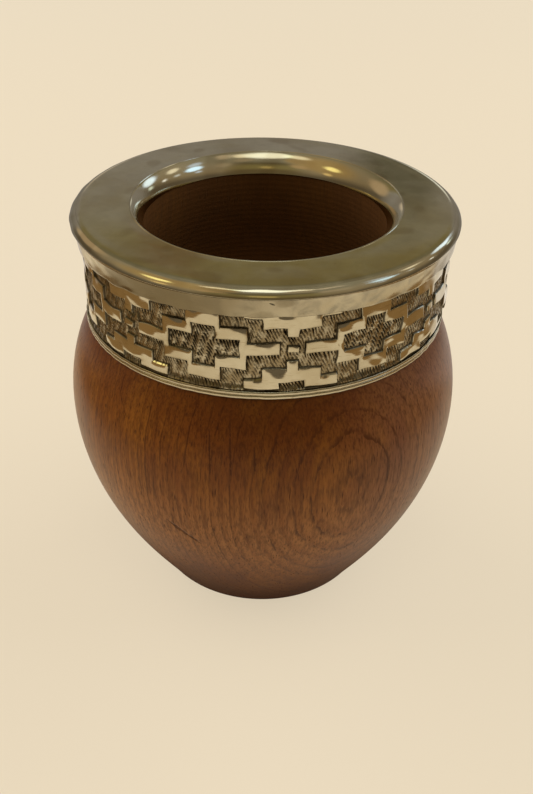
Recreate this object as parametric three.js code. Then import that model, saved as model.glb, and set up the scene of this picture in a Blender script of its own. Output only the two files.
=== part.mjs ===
// Wooden mate cup with a chiselled metal rim, in millimetres, standing on z = 0 with its front towards -Y.
import * as THREE from 'three';

// Shared
const AROUND = 56;
const JOINT_GAP = 0.1;

// Outside of the wooden cup
const FOOT_RADIUS = 26.9;
const FOOT_EASE = 1.0;
const FOOT_FLARE = THREE.MathUtils.degToRad(29.2);
const FOOT_PULL = 8.5;
const BELLY_RADIUS = 45.75;
const BELLY_HEIGHT = 48.5;
const BELLY_PULL_DOWN = 22.7;
const BELLY_PULL_UP = 11.5;
const LEDGE_HEIGHT = 69.8;
const LEDGE_INSET = 0.25;
const LEDGE_LEAN = THREE.MathUtils.degToRad(29.8);
const LEDGE_PULL = 3.3;

// Hollow of the wooden cup
const FLOOR_THICKNESS = 14;
const FLOOR_PULL = 21;
const WALL_THICKNESS = 14.25;
const HOLLOW_HEIGHT = 56;
const HOLLOW_PULL_DOWN = 25;
const HOLLOW_PULL_UP = 14;
const MOUTH_PULL = 12;
const MOUTH_STEP = 0.3;

// Chiselled band
const BAND_RADIUS = 40.5;
const BAND_SHEET = 0.6;
const GLUE_ROOM = 0.75;
const RELIEF = 0.55;
const STEP_HEIGHT = 1.5;
const FRIEZE_MARGIN = 0.25;
const REPEATS = 7;
const FRONT_REPEATS = 4;
const FRONT_REPEAT_ANGLE = 50;
const FRONT_START = -91.9;

// Border wire at the foot of the band
const BORDER_HEIGHT = 2.0;
const BORDER_PROUD = 0.2;
const BORDER_GROOVE = 0.3;
const BORDER_CROWN = 0.4;

// Plain skirt, edge wire and plate
const SKIRT_HEIGHT = 3.85;
const SKIRT_SHEET = 0.6;
const SKIRT_FIT = 0.15;
const SKIRT_INSET = 0.4;
const SKIRT_BULGE = 0.15;
const RIM_OVERHANG = 2.0;
const EDGE_WIRE_RADIUS = 1.15;
const EDGE_SEAT = THREE.MathUtils.degToRad(75);
const PLATE_THICKNESS = 0.8;

// Rolled mouth, as wide inwards from the rim's outer edge as RIM_WIDTH says
const RIM_WIDTH = 15.7;
const LIP_RADIUS = 3.7;
const LIP_SHEET = 0.8;
const LIP_TUBE = 0.1;

// The frieze's motif: widths in columns of a repeat, heights in steps above or below its middle line
const COLUMNS = 30;
const CROSS_ARM = 7.4;
const CROSS_POST = 3;
const RECESS_ARM = 6.2;
const RECESS_POST = 2;
const RECESS_HEIGHT = 1.27;
const BAR_HEIGHT = 0.87;
const SQUARE_HEIGHT = 0.45;
const STUB = 1;
const STUB_LINE = 1.8;
const STEP = 5;
const STEP_LINE = 3;
const BASE = 8.2;
const BASE_LINE = 5;
const END_LINE = 6;
const NOTCH = 2.15;

// Heights that follow from the stack of metal on the ledge
const bandBottom = LEDGE_HEIGHT + JOINT_GAP;
const borderTop = bandBottom + BORDER_HEIGHT;
const friezeMiddle = borderTop + FRIEZE_MARGIN + END_LINE * STEP_HEIGHT;
const skirtBottom = friezeMiddle + BASE_LINE * STEP_HEIGHT;
const skirtTop = skirtBottom + SKIRT_HEIGHT;
const edgeHeight = skirtTop + JOINT_GAP + EDGE_WIRE_RADIUS;
const plateTop = edgeHeight + EDGE_WIRE_RADIUS * Math.sin(EDGE_SEAT);
const plateBottom = plateTop - PLATE_THICKNESS;
const woodTop = plateBottom - JOINT_GAP;
const lipHeight = plateTop - LIP_RADIUS;
const lipBottom = lipHeight - LIP_TUBE;

// Radii that follow from the band, the rim's width and the wall
const hollowRadius = BELLY_RADIUS - WALL_THICKNESS;
const groundRadius = BAND_RADIUS - RELIEF;
const bandInside = groundRadius - BAND_SHEET;
const neckRadius = bandInside - GLUE_ROOM;
const ledgeRadius = BAND_RADIUS - LEDGE_INSET;
const rimRadius = BAND_RADIUS + RIM_OVERHANG;
const edgeRadius = rimRadius - EDGE_WIRE_RADIUS;
const plateOutside = edgeRadius - EDGE_WIRE_RADIUS * Math.cos(EDGE_SEAT) - JOINT_GAP;
const mouthRadius = rimRadius - RIM_WIDTH;
const lipRadius = mouthRadius + LIP_RADIUS;
const plateInside = lipRadius + JOINT_GAP;

const point = (r, z) => new THREE.Vector2(r, z);

// Points of a curve from one point to another, pulled along a direction at each end
function bend(start, startPull, endPull, end, pieces) {
  const leave = start.clone().add(startPull);
  const arrive = end.clone().add(endPull);
  return new THREE.CubicBezierCurve(start, leave, arrive, end).getPoints(pieces);
}

// Points of an arc, with its angles counted from outwards towards upwards
function arc(r, z, radius, from, to, pieces) {
  const points = [];
  for (let i = 0; i <= pieces; i += 1) {
    const angle = from + ((to - from) * i) / pieces;
    points.push(point(r + radius * Math.cos(angle), z + radius * Math.sin(angle)));
  }
  return points;
}

// Turns a profile of radius and height about the upright axis
function turn(profile) {
  const geometry = new THREE.LatheGeometry(profile, AROUND);
  geometry.rotateX(Math.PI / 2);
  return geometry;
}

// A ring's profile closes on itself
function ring(profile) {
  return turn([...profile, profile[0].clone()]);
}

function woodBody() {
  const flare = point(Math.sin(FOOT_FLARE), Math.cos(FOOT_FLARE));
  const footEdge = point(FOOT_RADIUS, 0).add(flare.clone().multiplyScalar(FOOT_EASE));
  const belly = point(BELLY_RADIUS, BELLY_HEIGHT);
  const ledge = point(ledgeRadius, LEDGE_HEIGHT);
  const lean = point(Math.sin(LEDGE_LEAN), -Math.cos(LEDGE_LEAN)).multiplyScalar(LEDGE_PULL);
  const hollow = point(hollowRadius, HOLLOW_HEIGHT);
  const mouth = point(mouthRadius + MOUTH_STEP, lipBottom - JOINT_GAP);
  const floor = point(0, FLOOR_THICKNESS);
  const corner = LIP_RADIUS - LIP_SHEET - JOINT_GAP;
  return turn([
    point(0, 0),
    point(FOOT_RADIUS - FOOT_EASE, 0),
    ...bend(footEdge, flare.multiplyScalar(FOOT_PULL), point(0, -BELLY_PULL_DOWN), belly, 7),
    ...bend(belly, point(0, BELLY_PULL_UP), lean, ledge, 4).slice(1),
    point(neckRadius, LEDGE_HEIGHT),
    point(neckRadius, woodTop),
    ...arc(lipRadius, lipHeight, corner, Math.PI / 2, Math.PI, 4),
    point(lipRadius - corner, mouth.y),
    ...bend(mouth, point(0, -MOUTH_PULL), point(0, HOLLOW_PULL_UP), hollow, 4),
    ...bend(hollow, point(0, -HOLLOW_PULL_DOWN), point(FLOOR_PULL, 0), floor, 7).slice(1),
  ]);
}

function glueBed() {
  const inside = neckRadius + JOINT_GAP;
  const outside = bandInside - JOINT_GAP;
  return ring([
    point(inside, bandBottom),
    point(outside, bandBottom),
    point(outside, woodTop),
    point(inside, woodTop),
  ]);
}

// Whether the metal is left standing at a place in the frieze
function isRaised(column, step) {
  const across = Math.abs(column);
  const fromPyramid = COLUMNS / 2 - across;
  const up = Math.abs(step);
  const underSkirt = step > BASE_LINE;
  const crossArms = across < CROSS_ARM && up < STEP_LINE;
  const crossPost = across < CROSS_POST && up < BASE_LINE;
  const recessArms = across < RECESS_ARM && up < RECESS_HEIGHT;
  const recessPost = across < RECESS_POST && up < STEP_LINE;
  const cross = (crossArms || crossPost) && !recessArms && !recessPost;
  const bar = across > CROSS_ARM && fromPyramid > NOTCH && up < BAR_HEIGHT;
  const square = fromPyramid < STUB && up < SQUARE_HEIGHT;
  const stub = fromPyramid < STUB && up > STUB_LINE && up < STEP_LINE;
  const middle = fromPyramid < STEP && up > STEP_LINE && up < BASE_LINE;
  const base = fromPyramid < BASE && fromPyramid > NOTCH && up > BASE_LINE && up < END_LINE;
  return underSkirt || cross || bar || square || stub || middle || base;
}

// Angle at which each repeat begins: those in front are cut a little narrower than those behind
function repeatStart(repeat) {
  const behind = (360 - FRONT_REPEATS * FRONT_REPEAT_ANGLE) / (REPEATS - FRONT_REPEATS);
  const inFront = Math.min(repeat, FRONT_REPEATS);
  return FRONT_START + inFront * FRONT_REPEAT_ANGLE + (repeat - inFront) * behind;
}

// Rising places at the given distances on both sides of a middle line, each place once
function bothSides(distances) {
  const places = distances.flatMap((distance) => [-distance, distance]);
  return [...new Set(places)].sort((a, b) => a - b);
}

// Every angle where the motif changes, with the column that lies there
function friezeColumns() {
  const half = COLUMNS / 2;
  const fromPyramid = [BASE, STEP, NOTCH, STUB].map((width) => half - width);
  const lines = bothSides([0, RECESS_POST, CROSS_POST, RECESS_ARM, CROSS_ARM, ...fromPyramid]);
  const columns = [];
  for (let repeat = 0; repeat < REPEATS; repeat += 1) {
    const start = repeatStart(repeat);
    const width = repeatStart(repeat + 1) - start;
    for (const column of lines) {
      const degrees = start + (width * (column + half)) / COLUMNS;
      columns.push({ column, angle: THREE.MathUtils.degToRad(degrees) });
    }
  }
  return columns;
}

// Every height where the motif changes, from the band's lower edge to its upper edge
function friezeHeights() {
  const lines = bothSides([SQUARE_HEIGHT, BAR_HEIGHT, RECESS_HEIGHT, STUB_LINE, STEP_LINE, BASE_LINE]);
  const steps = [-END_LINE, ...lines];
  return [bandBottom, ...steps.map((step) => friezeMiddle + step * STEP_HEIGHT), woodTop];
}

// The band as a ring of small faces, each standing at the raised radius or the ground's radius
function friezeBand() {
  const corners = [];
  const at = (r, angle, z) => [r * Math.sin(angle), -r * Math.cos(angle), z];
  const quad = (a, b, c, d) => corners.push(...a, ...b, ...c, ...a, ...c, ...d);
  const columns = friezeColumns();
  const heights = friezeHeights();
  const low = heights[0];
  const high = heights[heights.length - 1];
  const cellRadius = (i, j) => {
    const left = columns[i % columns.length].column;
    const right = columns[(i + 1) % columns.length].column;
    const column = right > left ? (left + right) / 2 : COLUMNS / 2;
    const step = ((heights[j] + heights[j + 1]) / 2 - friezeMiddle) / STEP_HEIGHT;
    return isRaised(column, step) ? BAND_RADIUS : groundRadius;
  };
  for (let i = 0; i < columns.length; i += 1) {
    const left = columns[i].angle;
    const right = columns[(i + 1) % columns.length].angle;
    const shelf = (r, next, z) => {
      quad(at(r, left, z), at(r, right, z), at(next, right, z), at(next, left, z));
    };
    const side = (r, next, foot, head) => {
      quad(at(r, right, foot), at(next, right, foot), at(next, right, head), at(r, right, head));
    };
    let below = bandInside;
    for (let j = 0; j + 1 < heights.length; j += 1) {
      const foot = heights[j];
      const head = heights[j + 1];
      const r = cellRadius(i, j);
      const next = cellRadius(i + 1, j);
      if (r !== below) shelf(below, r, foot);
      quad(at(r, left, foot), at(r, right, foot), at(r, right, head), at(r, left, head));
      if (r !== next) side(r, next, foot, head);
      below = r;
    }
    shelf(below, bandInside, high);
    const inside = (angle, z) => at(bandInside, angle, z);
    quad(inside(right, low), inside(left, low), inside(left, high), inside(right, high));
  }
  const geometry = new THREE.BufferGeometry();
  geometry.setAttribute('position', new THREE.Float32BufferAttribute(corners, 3));
  return geometry;
}

// Two rounded ridges with a groove between them
function borderWire() {
  const inside = groundRadius + JOINT_GAP;
  const outside = BAND_RADIUS + BORDER_PROUD;
  const ridge = BORDER_HEIGHT / 4;
  const flank = outside - BORDER_GROOVE;
  return ring([
    point(inside, bandBottom),
    point(flank, bandBottom),
    point(outside, bandBottom + ridge * (1 - BORDER_CROWN)),
    point(outside, bandBottom + ridge * (1 + BORDER_CROWN)),
    point(flank, bandBottom + ridge * 2),
    point(outside, bandBottom + ridge * (3 - BORDER_CROWN)),
    point(outside, bandBottom + ridge * (3 + BORDER_CROWN)),
    point(flank, borderTop),
    point(inside, borderTop),
  ]);
}

function skirtCollar() {
  const bottom = BAND_RADIUS + SKIRT_FIT;
  const top = rimRadius - SKIRT_INSET - SKIRT_SHEET;
  const pieces = 4;
  const inside = [];
  for (let i = 0; i <= pieces; i += 1) {
    const share = i / pieces;
    const bulge = SKIRT_BULGE * Math.sin(Math.PI * share);
    inside.push(point(THREE.MathUtils.lerp(bottom, top, share) + bulge, skirtBottom + share * SKIRT_HEIGHT));
  }
  const outside = inside.map((p) => point(p.x + SKIRT_SHEET, p.y));
  return ring([...outside, ...inside.reverse()]);
}

function rimPlate() {
  return ring([
    point(plateInside, plateBottom),
    point(plateOutside, plateBottom),
    point(plateOutside, plateTop),
    point(plateInside, plateTop),
  ]);
}

function edgeWire() {
  const reach = Math.PI - EDGE_SEAT;
  return ring(arc(edgeRadius, edgeHeight, EDGE_WIRE_RADIUS, -reach, reach, 12));
}

function mouthLip() {
  return ring([
    point(lipRadius - LIP_RADIUS + LIP_SHEET, lipBottom),
    ...arc(lipRadius, lipHeight, LIP_RADIUS - LIP_SHEET, Math.PI, Math.PI / 2, 6),
    ...arc(lipRadius, lipHeight, LIP_RADIUS, Math.PI / 2, Math.PI, 7),
    point(mouthRadius, lipBottom),
  ]);
}

const wood = { color: '#7d4526', roughness: 0.45, metalness: 0 };
const glue = { color: '#b8a98a', roughness: 0.7, metalness: 0 };
const polished = { color: '#b5ab8c', roughness: 0.2, metalness: 1 };
const chiselled = { color: '#b3a27c', roughness: 0.3, metalness: 1 };

const cup = new THREE.Group();
cup.name = 'mate_cup';

function add(name, geometry, finish) {
  const mesh = new THREE.Mesh(geometry, new THREE.MeshStandardMaterial(finish));
  mesh.name = name;
  cup.add(mesh);
}

add('wood_body', woodBody(), wood);
add('glue_bed', glueBed(), glue);
add('frieze_band', friezeBand(), chiselled);
add('border_wire', borderWire(), polished);
add('skirt_collar', skirtCollar(), polished);
add('rim_plate', rimPlate(), polished);
add('edge_wire', edgeWire(), polished);
add('mouth_lip', mouthLip(), polished);

export default cup;
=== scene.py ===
# Wooden mate cup with a chiselled metal rim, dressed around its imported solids. Lengths are in metres.
import math
from functools import reduce

import bpy
import numpy as np
from mathutils import Matrix, Vector


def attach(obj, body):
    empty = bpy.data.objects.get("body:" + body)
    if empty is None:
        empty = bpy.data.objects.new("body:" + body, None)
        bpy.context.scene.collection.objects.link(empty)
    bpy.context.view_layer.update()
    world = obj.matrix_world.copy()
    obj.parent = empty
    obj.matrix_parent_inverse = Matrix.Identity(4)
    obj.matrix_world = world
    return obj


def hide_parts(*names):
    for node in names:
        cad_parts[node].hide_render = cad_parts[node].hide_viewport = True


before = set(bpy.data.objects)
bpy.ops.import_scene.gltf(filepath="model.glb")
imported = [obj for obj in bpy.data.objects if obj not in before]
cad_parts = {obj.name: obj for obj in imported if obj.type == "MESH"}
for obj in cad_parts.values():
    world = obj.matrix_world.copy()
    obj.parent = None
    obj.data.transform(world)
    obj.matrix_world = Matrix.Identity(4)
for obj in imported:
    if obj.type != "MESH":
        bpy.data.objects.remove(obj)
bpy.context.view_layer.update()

MM = 0.001
HAIR = 1e-6
UPRIGHT = math.pi / 2
SHARP_ANGLE = math.radians(38)

# Camera, placed as the photograph was taken
CAMERA_PLACE = (0.0, -0.19780, 0.17599)
CAMERA_YAW = math.radians(-0.263)
CAMERA_TILT = math.radians(90 - 33.859)
CAMERA_ROLL = math.radians(0.904)
CAMERA_LENS = 43.386
CAMERA_SENSOR = 36.0
CAMERA_NEAR = 0.01

# Floor: half its width, its own glow seen straight and in reflections, and where the glow becomes full
FLOOR_HALF = 3.0
FLOOR_GLOW = 0.75
FLOOR_GLOSS = 0.30
FLOOR_FAR = (0.25, 1.0)

# In reflections the pale floor ends in a brown table at the sides, a dim room in front and haze behind
PALE_SIDE = 0.138
PALE_SIDE_FADE = 0.012
PALE_FRONT = 0.25
PALE_FRONT_FADE = 0.08
PALE_BACK_LEFT = 0.13
PALE_BACK_RIGHT = 0.07
PALE_BACK_SIDE = 0.07
PALE_BACK_SIDE_FADE = 0.01
HAZE_END = 0.185
HAZE_FADE = 0.02

# Outside of the wooden cup
FOOT_RADIUS = 0.0269
FOOT_CENTRE = 0.002
FOOT_EASE = 0.001
FOOT_EASE_PULL = 0.6
FOOT_FLARE = math.radians(29.2)
FOOT_PULL = 0.0085
BELLY_RADIUS = 0.04575
BELLY_HEIGHT = 0.0485
BELLY_PULL_DOWN = 0.0227
BELLY_PULL_UP = 0.0115
LEDGE_RADIUS = 0.04025
LEDGE_HEIGHT = 0.0698
LEDGE_LEAN = math.radians(29.8)
LEDGE_PULL = 0.0033
NECK_RADIUS = 0.0386
WOOD_TOP = 0.093961
WOOD_AROUND = 192

# Hollow of the wooden cup
FLOOR_HEIGHT = 0.014
FLOOR_PULL = 0.021
HOLLOW_RADIUS = 0.0315
HOLLOW_HEIGHT = 0.056
HOLLOW_PULL_DOWN = 0.025
HOLLOW_PULL_UP = 0.014
MOUTH_PULL = 0.012
BORE_RADIUS = 0.0271
BORE_TOP = 0.090961
CORNER_RADIUS = 0.0028
TURNING_PITCH = 0.0014
TURNING_DEPTH = 0.00002
TURNING_START = (0.0, 0.002)
TURNING_CENTRE = (0.001, 0.006)

# Chiselled band
BAND_BOTTOM = 0.0699
BAND_TOP = 0.093961
BAND_RADIUS = 0.0405
BAND_INSIDE = 0.03935
GROUND_DEPTH = 0.0005
LOW_SHARE = 0.35
LOW_RUN = 0.0008
FRIEZE_MIDDLE = 0.08115
FRIEZE_LOW = 0.0720
LOW_ROW_DROP = 0.0001
STEP_HEIGHT = 0.0015
REPEATS = 7
FRONT_REPEATS = 4
FRONT_REPEAT_ANGLE = math.radians(50)
FRONT_START = math.radians(-91.9)
REPEAT_COLUMNS = 240
ROW_PITCH = 0.0005
ROW_LEAST = 0.00006
ROW_GATHER = 0.00012
ROW_SETTLE = 0.001

# The frieze's motif: widths in columns of a repeat, heights in steps above or below its middle line
COLUMNS = 30
CROSS_ARM = 7.4
CROSS_POST = 3
RECESS_ARM = 6.2
RECESS_POST = 2
RECESS_HEIGHT = 1.27
BAR_HEIGHT = 0.87
SQUARE_HEIGHT = 0.45
STUB = 1
STUB_LINE = 1.8
STEP = 5
STEP_LINE = 3
BASE = 8.2
BASE_LINE = 5
END_LINE = 6
NOTCH = 2.15
OVERLAP = 0.6
ROUNDING = 0.00022

# Relief of the frieze's standing faces and walls
WALL_SPAN = (-0.0001, 0.00016)
OUTLINE_LINE = 0.0003
OUTLINE_WIDTH = 0.00016
OUTLINE_DEPTH = 0.00012
CROWN_DEPTH = 0.00006
CROWN_WIDTH = 0.0009
ROLL_OFF_DEPTH = 0.00007
ROLL_OFF_MM = 1.6
ROLL_OFF_PASSES = 12
NO_EDGE_MM = 10.0
HAMMER_DEPTH = 0.00008
WANDER = 0.00011

# Chisel strokes on the ground, in lanes whose numbers are spread without repeating
NICK_PITCH = 0.00066
NICK_LENGTH = 0.0021
NICK_SLANT = 0.5
NICK_DEPTH = 0.00022
NICK_CLEAR = (0.0001, 0.0003)
LANE_SWAY = 0.15
SPREADS = (0.618034, 0.754878, 0.569840)
STROKE_SWING = 0.5
STROKE_WIDTH = 0.20
STROKE_WIDEN = 0.16
STROKE_STEEP = 2.2
STROKE_START = (0.02, 0.5)
STROKE_END = (1.0, 0.92)
STROKE_USUAL = 0.6
FRESH_FADE = (1.2, 0.3)
FRESH_REACH = 1.1
FRESH_SPREAD = 1.8
STROKE_WEAR = 0.35
HOLE_WIDEN = 0.12
HOLE_BOLD = 0.3
HOLE_WEAR = 0.50

# Border wire
BORDER_INSIDE = 0.04005
BORDER_FLANK = 0.0404
BORDER_PROUD = 0.0004
BORDER_TOP = 0.0716
# How much less soot and painted shade lies just above the border
BORDER_SOOT_AND_SHADE = (BORDER_TOP, 0.0724, 0.6)
BORDER_UNEVEN = 0.00003
BORDER_GROOVE = (0.00025, 0.00005)
BORDER_FULLNESS = 0.45
BORDER_POINTS = 15
BORDER_AROUND = 448

# Skirt
SKIRT_BOTTOM = 0.08865
SKIRT_TOP = 0.0925
SKIRT_TURN_IN = 0.0004
SKIRT_BOTTOM_RADIUS = 0.04065
SKIRT_TOP_RADIUS = 0.0415
SKIRT_BULGE = -0.00013
SKIRT_SHEET = 0.0006
SKIRT_END = 0.04205
SKIRT_EASE = 0.00012
SKIRT_LEAVE = (0.00003, 0.0002)
SKIRT_ARRIVE = (0.0001, 0.0)
SKIRT_DENT = 0.00003
SKIRT_FREE = 0.0015
SKIRT_EDGE_WAVE = 0.00008
SKIRT_EDGE_REACH = 0.0018
SKIRT_POINTS = 17
SKIRT_AROUND = 512

# Tarnish of the skirt in patches, and a painted darker reflection on its left and right: share, and
# angles from the front
SKIRT_TARNISH = 0.6
SKIRT_PATCHES = (0.6, 1.8)
SIDE_PAINTED_REFLECTION = (
    (0.95, (0.45, -0.50), (-0.98, -0.72)),
    (0.55, (0.85, 1.15), (2.0, 1.7)),
)

# Plate and edge wire
RIM_AROUND = 384
RIM_UNEVEN = 0.00002
RIM_TARNISH = 0.5
PLATE_INSIDE = 0.03041
PLATE_EASE = 0.00008
PLATE_OUTSIDE = 0.04095
PLATE_BOTTOM = 0.094061
PLATE_TOP = 0.094861
PLATE_FIRM = 0.002
ROLL_START = 0.03994
ROLL_RADIUS = 0.00267
ROLL_END = math.radians(70)
EDGE_INSIDE = 0.04097
EDGE_UNDERSIDE = 0.04215
EDGE_BOTTOM = 0.09293
EDGE_LEAVE = 0.00012
EDGE_ARRIVE = 0.00015
EDGE_FIRM = 0.0005

# Lip
LIP_CENTRE = 0.0305
LIP_HEIGHT = 0.091161
LIP_BACK_RADIUS = 0.0029
LIP_SHEET = 0.0008
LIP_BOTTOM = 0.091061
LIP_OUTSIDE = 0.0304
MOUTH_RADIUS = 0.0268
MOUTH_SLOPE = math.radians(16)
MOUTH_PULL_UP = 0.0017
LIP_SLOPE = math.radians(31)
LIP_ROUND = 0.00035
LIP_OUTER_TURN = math.radians(45)
LIP_PULL = 0.0017
LIP_FIRM = 0.0015
LIP_UNEVEN = 0.00003

# The mouth was set by hand a little off the axis, and its sides are drawn in
MOUTH_SHIFT = (0.0003, 0.0002)
LIP_SIDE_IN = 0.0005
SHIFT_REACH = (0.038, PLATE_INSIDE + 0.001)

# The rim was set by hand and rises a little towards the back
RIM_RISE = 0.0006
RIM_RADIUS = 0.0425

# The band was bent by hand and bulges a little on its right, most below the middle
BULGE = 0.0009
BULGE_ANGLE = math.radians(85)
BULGE_WIDTH = math.radians(28)
BULGE_START = (0.0695, 0.0750)
BULGE_EASE = (0.0790, 0.0860)
BULGE_EASED = 0.4
BULGE_END = (0.0900, 0.0930)
BULGE_ENDED = 0.7
BULGE_ON_PLATE = (0.036, PLATE_OUTSIDE - 0.0003)

# Seeds of the uneven fields
FRIEZE_SEED = 11
BORDER_SEED = 12
SKIRT_SEED = 13
EDGE_SEED = 14
PLATE_SEED = 15
LIP_SEED = 16

# Colours, as linear light
CREAM = (0.837, 0.723, 0.546)
SILVER = (0.64, 0.60, 0.48)
SILVER_WARM = (0.53, 0.47, 0.34)
GOLDEN = (0.25, 0.16, 0.055)
DULL = (0.205, 0.168, 0.100)
SMOKE = (0.34, 0.320, 0.260)
GROUND = (0.30, 0.245, 0.155)
SOOT = (0.012, 0.010, 0.007)
TABLE_BROWN = (0.30, 0.175, 0.065)
ROOM_DIM = (0.16, 0.125, 0.08)
DUSK = (0.25, 0.225, 0.195)
HAZE_LEFT = (0.70, 0.62, 0.55)
HAZE_RIGHT = (0.88, 0.79, 0.67)
CEILING = (0.30, 0.27, 0.19)
WOOD_PAINTED_LIGHT = (0.375, 0.168, 0.0600)
WOOD_PALE = (0.245, 0.086, 0.0105)
WOOD_RED = (0.165, 0.047, 0.0070)
WOOD_DARK = (0.050, 0.013, 0.0030)
WOOD_GREY_SHEEN = (0.170, 0.082, 0.0540)
# Inside: a stain, painted darker near the mouth as shade and paler deep down as light
WOOD_STAIN_SHADED = (0.084, 0.041, 0.0150)
WOOD_DEEP_LIT = (0.220, 0.102, 0.0280)
GLUE_DARK = (0.28, 0.22, 0.13)
GLUE_PALE = (0.48, 0.41, 0.28)

# How strongly the waxed wood mirrors
WOOD_GLOSS = 0.20

# Growth rings of the wood, about an upright pith in front of the cup on its right
PITH = (0.0374, -0.0840)
RING_PITCH = 0.0018
RING_START = 0.0478
RING_SWAY = 0.0022
RING_FRAY = 0.0007
RING_OFFSET = 0.95

# Grain noises: share of the scale kept along the grain, scale, detail, roughness, distortion
RING_UNEVEN = (0.45, 70.0, 2.0)
RING_RAGGED = (0.16, 1000.0, 2.0)
RING_BROKEN = (0.35, 620.0, 2.0)
FIBRE = (0.06, 1500.0, 4.0, 0.65)
FINE = (0.16, 3000.0, 1.0, 0.6)
FIGURE = (0.40, 95.0, 4.0, 0.6, 0.5)
PORE_STRETCH = (1.0, 1.0, 0.13)
PORE_SCALE = 1700.0

# How strongly each mark colours the wood
LATE_SHARE = 0.40
EARLY_SHARE = 0.75
PORE_SHARE = 0.80
VESSEL_SHARE = 0.75
GOUGE_SHARE = 0.70
INSIDE_SHARE = 0.8

# Places where the wood is painted paler, greyer or darker for light, sheen and shade, stained inside with
# painted light and shade, or dull: two bounds and the values there
# Painted light: a paler band low on the front of the wood
PAINTED_LIGHT_RISE = (0.018, 0.034)
PAINTED_LIGHT_FALL = (0.056, 0.036)
PAINTED_LIGHT_FACE = (-0.010, -0.034, 0.0, 0.75)
# Painted sheen: the right side of the wood is greyer
GREY_SHEEN_RIGHT = (0.010, 0.032, 0.0, 0.45)
# Painted shade under the band on the front, a little right of the middle
SHADE_MIDDLE = 0.003
SHADE_SIDES = (0.020, 0.004)
SHADE_RISE = (0.050, 0.064, 0.0, 0.32)
SHADE_FACE = (0.0, -0.02)
# Painted shade, darker towards the foot and just under the band
FOOT_SHADE = (0.026, 0.003, 0.0, 0.76)
TOP_SHADE = (0.060, 0.0695, 0.0, 0.35)
# Inside, painted light deep down gives way to painted shade near the mouth
STAIN_SHADE_RISE = (0.050, 0.078)
FOOT_DULL = (0.030, 0.002, 0.0, 0.38)

# Scars: a gouge low on the left, long dark vessels and a scratch on the skirt, all on the front
# Their forms are the swell in the middle, the width at the ends and how ragged they are
SCAR_FLAT = (1.0, 0.15, 1.0)
SCAR_NOISE = (1100.0, 2.0)
GOUGE = ((-0.0207, -0.0396, 0.0376), (-0.0127, -0.0413, 0.0318))
GOUGE_FORM = (0.0015, 0.00006, 0.0008)
SCRATCH = ((0.0010, -0.0420, 0.0922), (0.0020, -0.0420, 0.0917))
SCRATCH_FORM = (0.0006, 0.00006, 0.0001)
VESSELS = (
    ((-0.0107, -0.0420, 0.0633), (-0.0106, -0.0442, 0.0536)),
    ((-0.0065, -0.0418, 0.0657), (-0.0063, -0.0451, 0.0530)),
    ((-0.0016, -0.0440, 0.0611), (-0.0014, -0.0453, 0.0546)),
)
VESSEL_FORM = (0.0007, 0.00004, 0.0005)

# Noises of the metal and the glue: scale, detail, roughness, distortion
SMEAR = (160.0, 4.0, 0.6, 0.4)
CLOUD = (75.0, 3.0, 0.55)
BLOTCH = (270.0, 3.0, 0.55, 0.6)
SPECK = (900.0, 2.0)
POLISH_HAIR = (5200.0, 2.0)
FACE_CLOUD = (150.0, 3.0, 0.6)
FACE_HAIR = (2600.0, 2.0)
RUBBED_PATCH = (480.0, 3.0, 0.6, 0.4)
GRIT = (2600.0, 3.0, 0.7)
WAX = (60.0, 3.0)
GLUE_LUMP = (420.0, 4.0, 0.6)
HAIR_STRETCH = 0.12

# Strength and depth of each material's finest relief
WOOD_BUMP = (0.35, 0.00006)
POLISH_BUMP = (0.22, 0.00001)
CHISEL_BUMP = (0.3, 0.00002)
GLUE_BUMP = (0.5, 0.0001)

# Sky colours by height, from 0 at the horizon to 1 overhead
SKY_BACK = (
    (0.0, (0.24, 0.22, 0.18)),
    (0.22, (0.29, 0.26, 0.225)),
    (0.335, (0.28, 0.25, 0.21)),
    (0.375, (0.315, 0.29, 0.25)),
    (0.41, (0.268, 0.233, 0.155)),
    (0.445, (0.235, 0.185, 0.075)),
    (0.64, (0.20, 0.175, 0.10)),
    (0.90, CEILING),
)
SKY_SIDE = (
    (0.0, (0.14, 0.11, 0.07)),
    (0.22, (0.14, 0.11, 0.07)),
    (0.45, (0.32, 0.25, 0.15)),
    (0.75, (0.36, 0.30, 0.20)),
    (0.90, CEILING),
)
SKY_FRONT = (
    (0.0, (0.13, 0.10, 0.05)),
    (0.42, (0.15, 0.11, 0.05)),
    (0.56, (0.25, 0.20, 0.08)),
    (0.68, (0.25, 0.20, 0.08)),
    (0.80, (0.15, 0.12, 0.06)),
    (0.90, CEILING),
)
BACK_FACING = (0.55, 0.90)
FRONT_FACING = (-0.65, -0.97)
LEVEL_GUARD = 1.0001

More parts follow.
